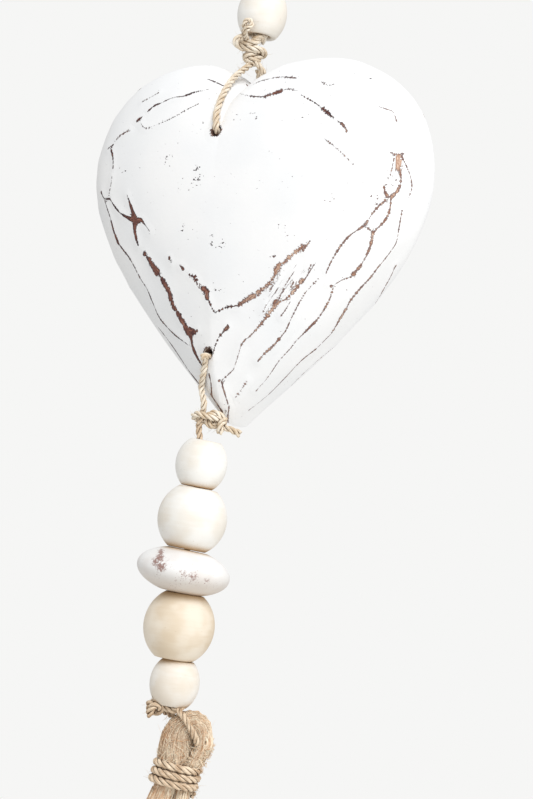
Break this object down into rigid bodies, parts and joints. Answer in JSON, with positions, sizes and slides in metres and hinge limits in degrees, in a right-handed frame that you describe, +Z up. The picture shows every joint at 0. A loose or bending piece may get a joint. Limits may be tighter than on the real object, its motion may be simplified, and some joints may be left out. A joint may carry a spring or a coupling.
{
  "type": "hanging heart decoration",
  "caption": "Carved wooden heart hung on a rope loop, with wooden beads, a pebble-shaped disc and a jute tassel hanging below it.",
  "frame": {"origin": "inside of the hanging loop's top, where it bears on its hook", "axes": "+Z up, as it hangs; the heart faces -Y and its width runs along X"},
  "size_m": [0.16, 0.0657, 0.4719],
  "materials": {
    "painted_wood": "chalky white paint, rubbed through to brown wood along the carved ridges",
    "washed_wood": "thin matt whitewash over pale wood",
    "worn_white_wood": "white paint worn through to reddish brown in patches",
    "bare_wood": "smooth bare pale wood",
    "rope": "laid jute rope with stray fibres",
    "jute": "loose combed jute fibres"
  },
  "bodies": {
    "root": {"hanging_loop": "rope", "top_bead": "washed_wood", "upper_knot": "rope", "upper_sling": "rope", "heart": "painted_wood", "lower_sling": "rope", "lower_knot": "rope", "bead_cord": "rope", "bead_1": "washed_wood", "bead_2": "washed_wood", "disc": "worn_white_wood", "bead_3": "bare_wood", "bead_4": "washed_wood", "tie_knot": "rope", "tassel": "jute", "tassel_binding": "rope"}
  },
  "joints": []
}
